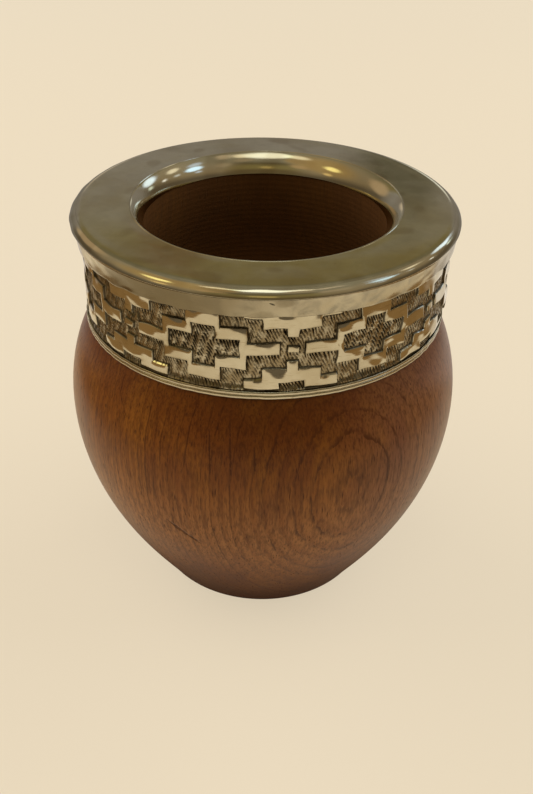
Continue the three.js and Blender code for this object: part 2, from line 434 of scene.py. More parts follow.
# Lights and shadows of the room: turn to the right and rise in degrees, inner and outer radius, colour
SKY_PATCHES = (
    (-75, 52, 12, 32, (0.46, 0.32, 0.14)),
    (165, 12, 2, 6, (1.20, 1.20, 1.05)),
    (-166, 12, 2, 6, (0.75, 0.64, 0.50)),
    (0, 36, 2, 7, (0.58, 0.45, 0.17)),
    (32, 65, 3, 8, (0.40, 0.33, 0.22)),
    (49, 48, 3, 9, (0.44, 0.36, 0.24)),
    (-45, 64, 4, 9, (0.40, 0.28, 0.13)),
    (-38, 45, 3, 9, (0.52, 0.36, 0.18)),
    (77, 69, 2, 6, (0.75, 0.63, 0.46)),
    (53, 77, 3, 7, (1.27, 1.15, 0.86)),
    (-73, 74, 2, 7, (1.19, 1.04, 0.72)),
    (-40, 81, 3, 8, (1.64, 1.72, 1.13)),
    (2, 82, 6, 13, (1.68, 1.72, 1.50)),
    (135, 27.5, 4, 8.5, (1.35, 1.65, 2.00)),
    (129.6, 16.5, 1, 4, (1.05, 1.20, 1.10)),
    (83.5, 41.5, 4, 8, (1.15, 1.60, 2.10)),
    (93, 51, 2, 6, (0.66, 0.75, 0.88)),
    (111.5, 41, 2.5, 6.5, (1.15, 1.03, 0.78)),
    (112, 24, 1, 3.5, (1.40, 1.40, 1.35)),
    (97, 30.5, 1, 4, (0.80, 0.82, 0.80)),
    (73, 32, 1, 4, (0.70, 0.80, 0.95)),
    (-80, 48, 3, 8.5, (1.75, 1.50, 0.62)),
    (-64, 30, 2, 6, (0.96, 0.70, 0.30)),
    (-130, 26, 6, 15, (0.54, 0.40, 0.24)),
    (171.7, 20.7, 1.4, 3.6, (0.13, 0.115, 0.07)),
    (-174, 25.5, 0.8, 2.5, (0.205, 0.135, 0.065)),
)

# Lamps: name, place, width and height, power, colour
LAMP_AIM = (0.0, 0.0, 0.05)
LAMPS = (
    ("left", (-0.75, 0.30, 0.50), (1.1, 0.9), 6.6, (1.0, 0.97, 0.93)),
    ("right", (0.75, 0.30, 0.50), (1.1, 0.9), 6.4, (0.96, 0.98, 1.0)),
    ("front", (0.0, -0.45, 0.75), (0.6, 0.4), 0.9, (1.0, 0.97, 0.93)),
)


def smooth(low, high, value):
    share = np.clip((value - low) / (high - low), 0, 1)
    return share * share * (3 - 2 * share)


def bend(start, leave, arrive, end, count):
    """Points of a cubic curve from start to end, with its two pulls given from those ends."""
    t = np.linspace(0, 1, count + 1)[:, None]
    start, end = np.array(start), np.array(end)
    first, last = start + np.array(leave), end + np.array(arrive)
    return start * (1 - t) ** 3 + 3 * first * t * (1 - t) ** 2 + 3 * last * t * t * (1 - t) + end * t ** 3


def arc(r, z, radius, start, end, count):
    """Points of an arc, with its angles counted from outwards towards upwards."""
    angle = np.linspace(start, end, count + 1)
    return np.stack([r + radius * np.cos(angle), z + radius * np.sin(angle)], axis=-1)


def line(start, end, count):
    share = np.linspace(0, 1, count + 1)[:, None]
    return np.array(start) * (1 - share) + np.array(end) * share


def wobble(rng, angle, height, waves, finest, rise):
    """A smooth uneven field around the axis, about one in size, which closes on itself."""
    total = np.zeros(np.broadcast(angle, height).shape)
    for _ in range(waves):
        turns = rng.integers(1, finest + 1)
        climb = rng.normal(0, rise)
        phase = rng.uniform(0, 2 * math.pi)
        total += np.cos(turns * angle + climb * height + phase)
    return total / math.sqrt(waves / 2)


def around(count):
    return np.arange(count) * 2 * math.pi / count


def turn_from_front(angle):
    """An angle around the axis, from -pi to pi, with 0 at the front."""
    return (angle + math.pi) % (2 * math.pi) - math.pi


def place(radius, angle, height):
    """Points at a radius and height, with angle 0 at the front and rising towards +X."""
    radius, angle, height = np.broadcast_arrays(radius, angle, height)
    return np.stack([radius * np.sin(angle), -radius * np.cos(angle), height], axis=-1)


def add(name, data):
    """Puts a new object into the scene."""
    added = bpy.data.objects.new(name, data)
    bpy.context.scene.collection.objects.link(added)
    return added


def add_mesh(name, points, faces, material):
    mesh = bpy.data.meshes.new(name)
    mesh.from_pydata(points, [], faces)
    mesh.materials.append(material)
    return add(name, mesh)


def mesh_piece(name, points, faces, material, stands_for):
    """A smooth mesh object that rides on the body and stands for its CAD node."""
    piece = add_mesh(name, points, faces, material)
    mesh = piece.data
    mesh.polygons.foreach_set("use_smooth", np.ones(len(mesh.polygons), bool))
    mesh.set_sharp_from_angle(angle=SHARP_ANGLE)
    mesh.update()
    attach(piece, "root")
    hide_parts(stands_for)
    return piece


def give(piece, name, values):
    """Stores one number for each point of a piece, for its material to read."""
    attribute = piece.data.attributes.new(name, "FLOAT", "POINT")
    attribute.data.foreach_set("value", np.asarray(values, np.float32).ravel())


def ring_faces(rows, columns, closed):
    """Faces between the rows of a grid that goes around the axis."""
    index = np.arange(rows * columns).reshape(rows, columns)
    right = np.roll(index, -1, axis=1)
    faces = np.stack([index, right, np.roll(right, -1, axis=0), np.roll(index, -1, axis=0)], axis=-1)
    if not closed:
        faces = faces[:-1]
    return faces.reshape(-1, 4).tolist()


def turned(name, profile, count, material, stands_for, shape):
    """A polished ring with a closed profile, turned about the axis and moved a little by shape."""
    angle = around(count)[None, :]
    radius, height = shape(profile[:, 0][:, None], profile[:, 1][:, None], angle)
    points = place(radius, angle, height)
    faces = ring_faces(len(profile), count, closed=True)
    return mesh_piece(name, points.reshape(-1, 3).tolist(), faces, material, stands_for)


# Nodes


def empty_tree(owner):
    owner.use_nodes = True
    owner.node_tree.nodes.clear()
    return owner.node_tree


def new_material(name):
    material = bpy.data.materials.new(name)
    return material, empty_tree(material)


def node(tree, kind, inputs=None, **settings):
    made = tree.nodes.new(kind)
    for key, value in settings.items():
        setattr(made, key, value)
    for key, value in (inputs or {}).items():
        if isinstance(value, Value):
            tree.links.new(value.socket, made.inputs[key])
        else:
            made.inputs[key].default_value = value
    return made


def result(tree, kind, inputs=None, output=0, **settings):
    """One output of a new node."""
    return Value(node(tree, kind, inputs, **settings).outputs[output])


class Value:
    """An output of a node, on which sums are written as plain arithmetic."""

    def __init__(self, socket):
        self.socket = socket
        self.tree = socket.id_data

    def math(self, operation, other=0.0, clamp=False):
        inputs = {0: self, 1: other}
        return result(self.tree, "ShaderNodeMath", inputs, operation=operation, use_clamp=clamp)

    def __add__(self, other):
        return self.math("ADD", other)

    def __sub__(self, other):
        return self.math("SUBTRACT", other)

    def __rsub__(self, other):
        return self * -1.0 + other

    def __mul__(self, other):
        return self.math("MULTIPLY", other)

    def __truediv__(self, other):
        return self.math("DIVIDE", other)

    def __abs__(self):
        return self.math("ABSOLUTE")

    def larger(self, other):
        return self.math("MAXIMUM", other)

    def fraction(self):
        return self.math("FRACT")

    def step(self, low, high, to_low=0.0, to_high=1.0):
        """A smooth ramp, which is to_low up to low and to_high from high on."""
        inputs = {"Value": self, "From Min": low, "From Max": high, "To Min": to_low, "To Max": to_high}
        return result(self.tree, "ShaderNodeMapRange", inputs, interpolation_type="SMOOTHSTEP")


def vectors(operation, first, second, output=0):
    return result(first.tree, "ShaderNodeVectorMath", {0: first, 1: second}, output, operation=operation)


def stretched(vector, scale):
    return vectors("MULTIPLY", vector, scale)


def noise(vector, scale, detail=3.0, roughness=0.55, distortion=0.0):
    inputs = {"Vector": vector, "Scale": scale, "Detail": detail}
    inputs.update({"Roughness": roughness, "Distortion": distortion})
    return result(vector.tree, "ShaderNodeTexNoise", inputs)


def grain(spot, along, *settings):
    """Noise drawn out upwards, along the wood."""
    return noise(stretched(spot, (1.0, 1.0, along)), *settings)


def opaque(colour):
    return colour if isinstance(colour, Value) else (*colour, 1.0)


def mix(share, first, second):
    inputs = {0: share, 6: opaque(first), 7: opaque(second)}
    return result(share.tree, "ShaderNodeMix", inputs, 2, data_type="RGBA")


def position(tree):
    return result(tree, "ShaderNodeTexCoord", output="Object")


def split(vector):
    return [Value(part) for part in node(vector.tree, "ShaderNodeSeparateXYZ", {0: vector}).outputs]


def stored(tree, name):
    return result(tree, "ShaderNodeAttribute", output="Fac", attribute_name=name)


def bump(height, strength, distance):
    inputs = {"Height": height, "Strength": strength, "Distance": distance}
    return result(height.tree, "ShaderNodeBump", inputs)


def surface(tree, **inputs):
    named = {key.replace("_", " "): value for key, value in inputs.items()}
    shader = result(tree, "ShaderNodeBsdfPrincipled", named)
    node(tree, "ShaderNodeOutputMaterial", {"Surface": shader})


def scar(spot, ends, form):
    """How deep a place lies in a scar on the front, from 0 to 1, by its distance to a line."""
    swell, end_width, ragged = form
    start, end = (Vector(point) * Vector(SCAR_FLAT) for point in ends)
    run = end - start
    spot = stretched(spot, SCAR_FLAT)
    from_start = vectors("SUBTRACT", spot, start)
    share = vectors("DOT_PRODUCT", from_start, run, "Value")
    share = share.math("DIVIDE", run.length_squared, clamp=True)
    foot = result(spot.tree, "ShaderNodeVectorMath", {0: run, "Scale": share}, operation="SCALE")
    away = vectors("DISTANCE", from_start, foot, "Value")
    away = (noise(spot, *SCAR_NOISE) - 0.5) * ragged + away
    width = share * (1.0 - share) * swell + end_width
    return (away / width).step(0.5, 1.3, 1.0, 0.0)


def growth_rings(spot, x, y):
    """Shares of dark early wood and of late wood, by the uneven distance from the pith."""
    along, across = x - PITH[0], y - PITH[1]
    depth = (along * along + across * across).math("SQRT")
    depth = (grain(spot, *RING_UNEVEN) - 0.5) * RING_SWAY + depth
    depth = (grain(spot, *RING_RAGGED) - 0.5) * RING_FRAY + depth
    ring = (depth - RING_START) / RING_PITCH
    share = ring.fraction()
    rise = share.step(0.0, 0.04)
    fall = share.step(0.07, 0.26, 1.0, 0.0)
    chance = (ring.math("FLOOR") * SPREADS[0] + RING_OFFSET).fraction()
    bold = chance.step(0.0, 0.8, 0.35)
    unbroken = grain(spot, *RING_BROKEN).step(0.40, 0.58, 0.30)
    early = rise * fall * (bold * unbroken)
    late = share.step(0.40, 1.0)
    return early, late


def wood_pores(spot, early):
    """Short dark pores, more of them in the early wood."""
    inputs = {"Vector": stretched(spot, PORE_STRETCH), "Scale": PORE_SCALE}
    cells = node(spot.tree, "ShaderNodeTexVoronoi", inputs)
    pore = Value(cells.outputs["Distance"]).step(0.08, 0.34, 1.0, 0.0)
    chosen = result(spot.tree, "ShaderNodeSeparateColor", {0: Value(cells.outputs["Color"])})
    few = chosen.step(0.58, 0.74)
    many = chosen.step(0.16, 0.26)
    return pore * few.larger(many * early)


def wood_material():
    material, tree = new_material("turned_wood")
    spot = position(tree)
    inside = stored(tree, "inside")
    x, y, z = split(spot)
    early, late = growth_rings(spot, x, y)
    fibre, fine, figure = (grain(spot, *settings) for settings in (FIBRE, FINE, FIGURE))
    pore = wood_pores(spot, early)
    gouge = scar(spot, GOUGE, GOUGE_FORM)
    vein = reduce(Value.larger, [scar(spot, ends, VESSEL_FORM) for ends in VESSELS])

    # Figure, rings and fibres, with painted light as a paler zone low on the front, and a painted sheen
    # that greys the right side
    colour = mix(figure.step(0.34, 0.66), WOOD_RED, WOOD_PALE)
    # Painted light, paler low on the front
    pale = z.step(*PAINTED_LIGHT_RISE) * z.step(*PAINTED_LIGHT_FALL) * y.step(*PAINTED_LIGHT_FACE)
    colour = mix(pale, colour, WOOD_PAINTED_LIGHT)
    colour = mix(late * LATE_SHARE, colour, WOOD_RED)
    # Painted sheen, greyer on the right
    colour = mix(x.step(*GREY_SHEEN_RIGHT), colour, WOOD_GREY_SHEEN)
    colour = mix(fibre.step(0.42, 0.70, 0.0, 0.50), colour, WOOD_DARK)
    colour = mix(fine.step(0.46, 0.66, 0.0, 0.40), colour, WOOD_DARK)
    colour = mix(early * EARLY_SHARE, colour, WOOD_DARK)

    # Pores, vessels and the gouge, then painted shade outside, under the band on the front, towards the
    # foot and just under the band all round, and inside a stain with painted light and shade
    dark = (pore * PORE_SHARE).larger(vein * VESSEL_SHARE).larger(gouge * GOUGE_SHARE)
    colour = mix(dark, colour, WOOD_DARK)
    shade = abs(x - SHADE_MIDDLE).step(*SHADE_SIDES) * z.step(*SHADE_RISE) * y.step(*SHADE_FACE)
    colour = mix(shade, colour, WOOD_DARK)
    # Painted shade towards the foot and under the band, outside only
    foot_and_top_shade = z.step(*FOOT_SHADE).larger(z.step(*TOP_SHADE))
    colour = mix(foot_and_top_shade * (1.0 - inside), colour, WOOD_DARK)
    # Inside a stain, with painted light deep down and painted shade near the mouth
    stain_and_painted_light = mix(z.step(*STAIN_SHADE_RISE), WOOD_DEEP_LIT, WOOD_STAIN_SHADED)
    colour = mix(inside * INSIDE_SHARE, colour, stain_and_painted_light)

    rough = noise(spot, *WAX) * 0.12 + 0.26
    rough = dark * 0.25 + rough + z.step(*FOOT_DULL)
    relief = (fibre + fine) * 0.35 - dark - gouge * 4.0
    normal = bump(relief, *WOOD_BUMP)
    surface(tree, Base_Color=colour, Roughness=rough, Specular_IOR_Level=WOOD_GLOSS, Normal=normal)
    return material


def polished_material(name, rough, tarnish, stain_and_painted_light, blotch, scratched=False):
    """Hand-polished metal with smears, dull blotches, fine scratches and a little tarnish, which on the
    skirt's left and right is a painted darker reflection.
    """
    material, tree = new_material(name)
    spot = position(tree)
    smear, cloud, patch, speck = (noise(spot, *settings) for settings in (SMEAR, CLOUD, BLOTCH, SPECK))
    hair = noise(stretched(spot, (1.0, HAIR_STRETCH, 1.0)), *POLISH_HAIR)
    cross_hair = noise(stretched(spot, (HAIR_STRETCH, 1.0, 1.0)), *POLISH_HAIR)
    colour = mix(cloud.step(0.35, 0.70), SILVER, SILVER_WARM)
    colour = mix(patch.step(0.36, 0.68, 0.0, blotch), colour, SMOKE)
    # The stored tone is tarnish, soot in the border's groove, and on the skirt's left and right a painted
    # darker reflection
    colour = mix(stored(tree, "toned") * tarnish, colour, stain_and_painted_light)
    colour = mix(speck.step(0.70, 0.80, 0.0, 0.5), colour, GOLDEN)
    if scratched:
        colour = mix(scar(spot, SCRATCH, SCRATCH_FORM) * 0.85, colour, SOOT)
    roughness = smear.step(0.30, 0.75, *rough)
    normal = bump(smear * 2.0 + (hair + cross_hair), *POLISH_BUMP)
    surface(tree, Base_Color=colour, Metallic=1.0, Roughness=roughness, Normal=normal)
    return material


def chisel_strokes(tree, away, below, in_hole, patch):
    """The same strokes as chisel_nicks cuts into the mesh, as a shade from 0 to 1."""
    lane = stored(tree, "lane")
    index = lane.math("FLOOR")
    offset, strength, tilt = ((index * spread).fraction() for spread in SPREADS)
    along = (stored(tree, "climb") + offset).fraction()
    middle = lane.fraction() - 0.5 + (tilt - 0.5) * (along - 0.5) * STROKE_SWING
    narrow = along * STROKE_WIDEN + (in_hole * HOLE_WIDEN + STROKE_WIDTH)
    groove = (1.0 - abs(middle) / narrow).math("MULTIPLY", STROKE_STEEP, clamp=True)
    taper = along.step(*STROKE_START) * along.step(*STROKE_END)
    fresh = (below / (strength * FRESH_SPREAD + FRESH_REACH)).step(*FRESH_FADE)
    bold = (taper * (in_hole * HOLE_BOLD + STROKE_USUAL)).larger(fresh)
    wear = in_hole * HOLE_WEAR + STROKE_WEAR
    kept = 1.0 - wear * patch.step(0.50, 0.62)
    return bold * kept * groove * away.step(0.04, 0.20)


def chiselled_material():
    """Polished standing faces over a hatched ground. Distances from the faces are in millimetres."""
    material, tree = new_material("chiselled_metal")
    spot = position(tree)
    away = stored(tree, "away")
    below = stored(tree, "below")
    cut = away.step(-0.05, 0.10)
    corner = away.step(0.36, 0.06)
    wall = away.step(-0.12, -0.02)
    in_hole = stored(tree, "hole").step(0.05, -0.15)
    cloud = noise(spot, *FACE_CLOUD)
    patch = noise(spot, *RUBBED_PATCH)
    grit = noise(spot, *GRIT)
    hair = noise(stretched(spot, (HAIR_STRETCH, HAIR_STRETCH, 1.0)), *FACE_HAIR)
    stroke = chisel_strokes(tree, away, below, in_hole, patch)

    # The standing faces are polished, with brown hair lines and painted brown shade along their edges
    colour = mix(cloud.step(0.35, 0.70, 0.0, 0.8), SILVER, SILVER_WARM)
    # Painted shade near the edges of the standing faces
    edge_shade = cloud.step(0.38, 0.62, 0.0, 0.55)
    colour = mix(away.step(-0.5, -0.05) * edge_shade, colour, DULL)
    colour = mix(hair.step(0.58, 0.74, 0.0, 0.32), colour, GOLDEN)

    # The ground is brown where it is fresh, and rubbed bright in patches
    rubbed = ((grit - 0.5) * 0.5 + patch).step(0.42, 0.66)
    rubbed = rubbed * (in_hole * 0.40 + 0.50)
    colour = mix(cut, colour, mix(rubbed, GROUND, SILVER))

    # Soot lies in the strokes and along the standing faces, with painted shade on the walls and heavier
    # just under the standing faces, less along the border
    under = below.step(1.1, 0.1, 0.45, 0.90) * split(spot)[2].step(*BORDER_SOOT_AND_SHADE)
    # Painted shade on the walls of the cut
    wall_shade = wall * away.step(0.22, 0.10, 0.0, 0.75)
    soot_and_shade = (corner * wall * under).larger(wall_shade).larger(stroke * 0.97)
    colour = mix(soot_and_shade, colour, SOOT)

    rough = cut * 0.18 + cloud.step(0.3, 0.75, 0.07, 0.13)
    rough = soot_and_shade * 0.25 + rough
    relief = hair - stroke * 4.0 + cut * grit * 3.0
    normal = bump(relief, *CHISEL_BUMP)
    surface(tree, Base_Color=colour, Metallic=1.0, Roughness=rough, Normal=normal)
    return material


def glue_material():
    material, tree = new_material("old_glue")
    lump = noise(position(tree), *GLUE_LUMP)
    colour = mix(lump.step(0.3, 0.7), GLUE_DARK, GLUE_PALE)
    rough = lump.step(0.3, 0.7, 0.45, 0.75)
    surface(tree, Base_Color=colour, Roughness=rough, Normal=bump(lump, *GLUE_BUMP))
    return material


# Pieces


def wood_outside():
    """Profile from near the foot's middle, up the belly and the neck, into the mouth's rebate."""
    flare = np.array([math.sin(FOOT_FLARE), math.cos(FOOT_FLARE)])
    foot = np.array([FOOT_RADIUS, 0.0])
    foot_edge = foot + flare * FOOT_EASE
    foot_flat = foot - np.array([FOOT_EASE, 0.0])
    belly = (BELLY_RADIUS, BELLY_HEIGHT)
    ledge = (LEDGE_RADIUS, LEDGE_HEIGHT)
    under_ledge = (LEDGE_PULL * math.sin(LEDGE_LEAN), -LEDGE_PULL * math.cos(LEDGE_LEAN))
    ease_pull = FOOT_EASE * FOOT_EASE_PULL
    return np.concatenate([
        line((FOOT_CENTRE, 0.0), foot_flat, count=5)[:-1],
        bend(foot_flat, (ease_pull, 0.0), -flare * ease_pull, foot_edge, count=6)[:-1],
        bend(foot_edge, flare * FOOT_PULL, (0.0, -BELLY_PULL_DOWN), belly, count=56)[:-1],
        bend(belly, (0.0, BELLY_PULL_UP), under_ledge, ledge, count=28),
        line((NECK_RADIUS, LEDGE_HEIGHT), (NECK_RADIUS, WOOD_TOP), count=2),
        arc(LIP_CENTRE, LIP_HEIGHT, CORNER_RADIUS, UPRIGHT, math.pi, count=8),
        [(LIP_CENTRE - CORNER_RADIUS, BORE_TOP)],
    ])


def wood_inside():
    """Profile from the bore down to near the floor's middle, with fine turning marks."""
    bore = (BORE_RADIUS, BORE_TOP)
    hollow = (HOLLOW_RADIUS, HOLLOW_HEIGHT)
    wall = np.concatenate([
        bend(bore, (0.0, -MOUTH_PULL), (0.0, HOLLOW_PULL_UP), hollow, count=130)[:-1],
        bend(hollow, (0.0, -HOLLOW_PULL_DOWN), (FLOOR_PULL, 0.0), (0.0, FLOOR_HEIGHT), count=130)[:-3],
    ])
    length = np.cumsum(np.hypot(*np.diff(wall, axis=0, prepend=wall[:1]).T))
    settle = smooth(*TURNING_START, length) * smooth(*TURNING_CENTRE, wall[:, 0])
    wall[:, 0] += TURNING_DEPTH * settle * np.sin(2 * math.pi * length / TURNING_PITCH)
    return wall


def make_wood(material):
    """The turned body: one closed skin from the foot's middle, over the mouth, to the floor's middle."""
    outside = wood_outside()
    profile = np.concatenate([outside, wood_inside()])
    count, rows = WOOD_AROUND, len(profile)
    points = place(profile[:, 0][:, None], around(count)[None, :], profile[:, 1][:, None])
    points = points.reshape(-1, 3).tolist()
    faces = ring_faces(rows, count, closed=False)
    bottom, top = len(points), len(points) + 1
    points += [(0.0, 0.0, 0.0), (0.0, 0.0, FLOOR_HEIGHT)]
    last = (rows - 1) * count
    for i in range(count):
        after = (i + 1) % count
        faces.append((bottom, after, i))
        faces.append((top, last + i, last + after))
    piece = mesh_piece("turned_body", points, faces, material, "wood_body")
    hidden = np.zeros(len(points))
    hidden[len(outside) * count:] = 1.0
    hidden[bottom] = 0.0
    give(piece, "inside", hidden)


def rectangle(x, y, left, right, low, high):
    """Distance to a rectangle with slightly rounded corners, below zero inside it."""
    dx = np.abs(x - (left + right) / 2) - (right - left) / 2 + ROUNDING
    dy = np.abs(y - (low + high) / 2) - (high - low) / 2 + ROUNDING
    beyond = np.hypot(np.maximum(dx, 0), np.maximum(dy, 0))
    return beyond + np.minimum(np.maximum(dx, dy), 0) - ROUNDING


def motif_distance(column, unit, up):
    """Distance to the standing metal at a column of the repeat and a height above the middle line.
    It also gives the distance to the recess inside the cross."""
    high = np.abs(up)
    across = np.abs(column) * unit
    from_pyramid = (COLUMNS / 2 - np.abs(column)) * unit

    def block(x, left, right, low, top):
        return rectangle(x, high, left * unit, right * unit, low * STEP_HEIGHT, top * STEP_HEIGHT)

    arms = block(across, -CROSS_ARM, CROSS_ARM, -STEP_LINE, STEP_LINE)
    post = block(across, -CROSS_POST, CROSS_POST, -BASE_LINE, BASE_LINE)
    recess_arms = block(across, -RECESS_ARM, RECESS_ARM, -RECESS_HEIGHT, RECESS_HEIGHT)
    recess_post = block(across, -RECESS_POST, RECESS_POST, -STEP_LINE, STEP_LINE)
    recess = np.minimum(recess_arms, recess_post)
    shapes = [
        np.maximum(np.minimum(arms, post), -recess),
        block(across, CROSS_ARM - OVERLAP, COLUMNS / 2 - NOTCH, -BAR_HEIGHT, BAR_HEIGHT),
        block(from_pyramid, -STUB, STUB, -SQUARE_HEIGHT, SQUARE_HEIGHT),
        block(from_pyramid, -STUB, STUB, STUB_LINE, STEP_LINE + OVERLAP),
        block(from_pyramid, -STEP, STEP, STEP_LINE, BASE_LINE),
        block(from_pyramid, NOTCH, BASE, BASE_LINE - OVERLAP, END_LINE),
    ]
    under_skirt = BASE_LINE * STEP_HEIGHT + 2 * ROUNDING - up
    return np.minimum(np.minimum.reduce(shapes), under_skirt), recess


def frieze_rows():
    """Heights of the band's rows, gathered at the motif's level lines."""
    half = [SQUARE_HEIGHT, BAR_HEIGHT, RECESS_HEIGHT, STUB_LINE, STEP_LINE, BASE_LINE]
    lines = np.array([-END_LINE] + [-v for v in half] + half) * STEP_HEIGHT
    offsets = np.array([-ROW_GATHER, ROW_GATHER])
    rows = np.sort((lines[:, None] + offsets[None, :]).ravel())
    rows = rows[np.concatenate([[True], np.diff(rows) > ROW_LEAST])]
    full = [rows[0]]
    for value in rows[1:]:
        extra = max(1, math.ceil((value - full[-1]) / ROW_PITCH))
        full += list(np.linspace(full[-1], value, extra + 1)[1:])
    return np.array(full) + FRIEZE_MIDDLE


def frieze_columns():
    """Angle, column and column width in metres of every upright line of the frieze."""
    behind = (2 * math.pi - FRONT_REPEATS * FRONT_REPEAT_ANGLE) / (REPEATS - FRONT_REPEATS)
    share = np.arange(REPEAT_COLUMNS) / REPEAT_COLUMNS
    start = FRONT_START
    angles, columns, units = [], [], []
    for repeat in range(REPEATS):
        width = FRONT_REPEAT_ANGLE if repeat < FRONT_REPEATS else behind
        angles.append(start + share * width)
        columns.append((share - 0.5) * COLUMNS)
        units.append(np.full(REPEAT_COLUMNS, BAND_RADIUS * width / COLUMNS))
        start += width
    return np.concatenate(angles), np.concatenate(columns), np.concatenate(units)


def chisel_nicks(lane, climb, below):
    """Slanted tapering strokes over the cut-back ground, from 0 to 1."""
    index = np.floor(lane)
    offset, strength, tilt = ((index * spread) % 1 for spread in SPREADS)
    along = (climb + offset) % 1
    middle = lane % 1 - 0.5 + STROKE_SWING * (tilt - 0.5) * (along - 0.5)
    narrow = STROKE_WIDTH + STROKE_WIDEN * along
    groove = np.clip(STROKE_STEEP * (1 - np.abs(middle) / narrow), 0, 1)
    taper = smooth(*STROKE_START, along) * smooth(*STROKE_END, along)
    fresh = smooth(*FRESH_FADE, below / (FRESH_REACH + FRESH_SPREAD * strength))
    return groove * np.maximum(STROKE_USUAL * taper, fresh)


def drop_below(height, above, at_top):
    """How far each place lies below the nearest one above it that counts, in millimetres."""
    drop = np.zeros(above.shape)
    drop[-1] = np.where(above[-1], 0.0, at_top)
    for row in range(len(height) - 2, -1, -1):
        fall = (height[row + 1] - height[row]) / MM
        drop[row] = np.where(above[row], 0.0, drop[row + 1] + fall)
    return drop


def softened(values, passes):
    """Values blended with their neighbours around the axis."""
    for _ in range(passes):
        values = (np.roll(values, 1, axis=1) + 2 * values + np.roll(values, -1, axis=1)) / 4
    return values


def bulge(angle, height):
    """How far the band bulges at an angle and a height."""
    turn = turn_from_front(angle - BULGE_ANGLE)
    rise = smooth(*BULGE_START, height) * (1 - BULGE_EASED * smooth(*BULGE_EASE, height))
    rise = rise * (1 - BULGE_ENDED * smooth(*BULGE_END, height))
    return BULGE * np.exp(-(turn / BULGE_WIDTH) ** 2) * rise


def rim_rise(radius, angle):
    """How far the rim stands higher than at its front."""
    return RIM_RISE * (1 - np.cos(angle) * radius / RIM_RADIUS) / 2


def mouth_shift(angle):
    """How far the lip's outer edge sits off a circle about the axis."""
    off_axis = MOUTH_SHIFT[0] * np.sin(angle) - MOUTH_SHIFT[1] * np.cos(angle)
    return off_axis - LIP_SIDE_IN * np.sin(angle) ** 2


def make_frieze(material):
    """The chiselled band, with its motif left standing and its ground cut back."""
    rng = np.random.default_rng(FRIEZE_SEED)
    angle, column, unit = frieze_columns()
    height = frieze_rows()
    a, z = angle[None, :], height[:, None]
    up = z - FRIEZE_MIDDLE
    distance, recess = motif_distance(column[None, :], unit[None, :], up)
    below = drop_below(height, distance < 0, at_top=0.0)
    top_edge = drop_below(height, distance > 0, at_top=NO_EDGE_MM)
    run = (a - FRONT_START) * BAND_RADIUS
    sway = LANE_SWAY * wobble(rng, a, z, waves=20, finest=70, rise=900.0)
    lane = (run + NICK_SLANT * up) / NICK_PITCH + sway
    climb = up / NICK_LENGTH + 0 * a
    cut = smooth(*WALL_SPAN, distance)
    outline = np.exp(-((distance - OUTLINE_LINE) / OUTLINE_WIDTH) ** 2)
    nick = chisel_nicks(lane, climb, below) * smooth(*NICK_CLEAR, distance)
    crown = CROWN_DEPTH * np.clip(1 + distance / CROWN_WIDTH, 0, 1) ** 2
    roll_off = ROLL_OFF_DEPTH * np.clip(1 - top_edge / ROLL_OFF_MM, 0, 1) ** 2
    crown = crown + softened(np.where(distance < 0, roll_off, 0.0), ROLL_OFF_PASSES)
    hammered = HAMMER_DEPTH * wobble(rng, a, z, waves=24, finest=40, rise=700.0)
    ground = GROUND_DEPTH * (LOW_SHARE + (1 - LOW_SHARE) * smooth(FRIEZE_LOW, FRIEZE_LOW + LOW_RUN, z))
    sunk = crown + (ground - crown) * cut + nick * NICK_DEPTH + outline * OUTLINE_DEPTH * cut
    radius = BAND_RADIUS - sunk + hammered + bulge(a, z)
    settle = smooth(height[0], height[0] + ROW_SETTLE, z) * smooth(height[-1], height[-1] - ROW_SETTLE, z)
    shift = WANDER / BAND_RADIUS * wobble(rng, a, z, waves=20, finest=40, rise=700.0)
    rise = WANDER * wobble(rng, a, z, waves=20, finest=40, rise=300.0) * settle

    low_ground = BAND_RADIUS - LOW_SHARE * GROUND_DEPTH
    points = np.stack([
        place(BAND_INSIDE, angle, BAND_BOTTOM),
        place(low_ground, angle, BAND_BOTTOM),
        place(low_ground, angle, FRIEZE_LOW - LOW_ROW_DROP),
        *place(radius, a + shift, z + rise),
        place(BAND_RADIUS, angle, BAND_TOP),
        place(BAND_INSIDE, angle, BAND_TOP),
    ])
    faces = ring_faces(len(points), len(angle), closed=True)
    points = points.reshape(-1, 3).tolist()
    piece = mesh_piece("chiselled_band", points, faces, material, "frieze_band")
    fields = {"away": distance / MM, "hole": recess / MM, "below": below, "lane": lane, "climb": climb}
    for name, values in fields.items():
        give(piece, name, np.stack([values[0]] * 3 + list(values) + [values[-1]] * 2))


def make_border(material):
    """Two flat ridges side by side, with a fine line between them."""
    rng = np.random.default_rng(BORDER_SEED)
    half = (BORDER_TOP - BAND_BOTTOM) / 2
    share = math.pi * np.linspace(0, 1, BORDER_POINTS)
    swell = np.sin(share) ** BORDER_FULLNESS
    rise = half * ((1 - np.cos(share)) / 2)
    lower = np.stack([BORDER_FLANK + BORDER_PROUD * swell, BAND_BOTTOM + rise], -1)
    upper = lower + np.array([0.0, half])
    bottom, top = (BORDER_INSIDE, BAND_BOTTOM), (BORDER_INSIDE, BORDER_TOP)
    profile = np.concatenate([[bottom], lower, upper[1:], [top]])

    def shape(radius, height, angle):
        front = radius > BORDER_FLANK - HAIR
        uneven = front * wobble(rng, angle, height, waves=16, finest=90, rise=900.0)
        uneven = BORDER_UNEVEN * uneven - BORDER_UNEVEN * (radius > BORDER_FLANK)
        return radius + uneven + bulge(angle, height) * front, height + 0 * angle

    piece = turned("border_ridges", profile, BORDER_AROUND, material, "border_wire", shape)
    deep, shallow = BORDER_GROOVE
    groove = smooth(BORDER_FLANK + deep, BORDER_FLANK + shallow, profile[:, 0])
    give(piece, "toned", groove[:, None] * np.ones(BORDER_AROUND)[None, :])


